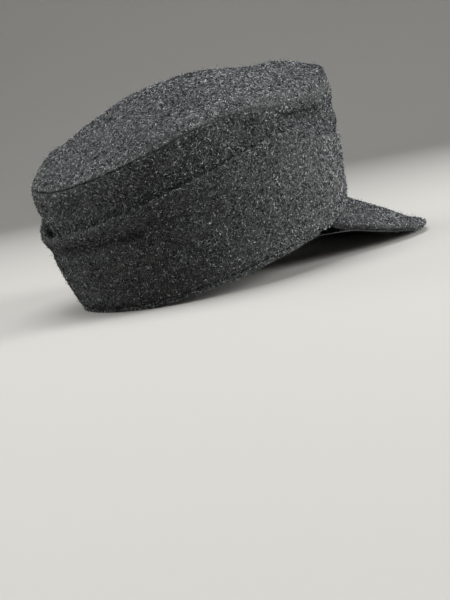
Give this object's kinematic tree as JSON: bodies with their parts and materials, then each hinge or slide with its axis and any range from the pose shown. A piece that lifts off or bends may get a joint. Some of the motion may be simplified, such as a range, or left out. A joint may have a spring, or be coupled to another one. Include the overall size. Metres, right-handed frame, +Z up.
{
  "type": "field cap",
  "caption": "Soft grey wool field cap with a domed oval top, an upright crown wall, a turned-up flap buttoned in front, a hem and a stiff drooping peak.",
  "frame": {"origin": "under the middle of the whole cap, on the surface that it stands on", "axes": "+Z up, the peak towards -Y, the wearer's right towards -X"},
  "size_m": [0.1956, 0.3076, 0.1458],
  "materials": {
    "top_wool": "heathered grey melton wool, the lightest panel",
    "side_wool": "heathered charcoal melton wool",
    "flap_wool": "heathered charcoal melton wool, double",
    "hem_wool": "turned and stitched edge of the same wool",
    "peak_wool": "melton wool drawn over a stiff board",
    "peak_lining": "plain grey wool facing under the peak",
    "horn": "plain dark horn-like button, satin"
  },
  "bodies": {
    "root": {"crown_top": "top_wool", "crown_side": "side_wool", "turn_up": "flap_wool", "rim_hem": "hem_wool", "peak_top": "peak_wool", "peak_under": "peak_lining", "front_button": "horn"}
  },
  "joints": []
}
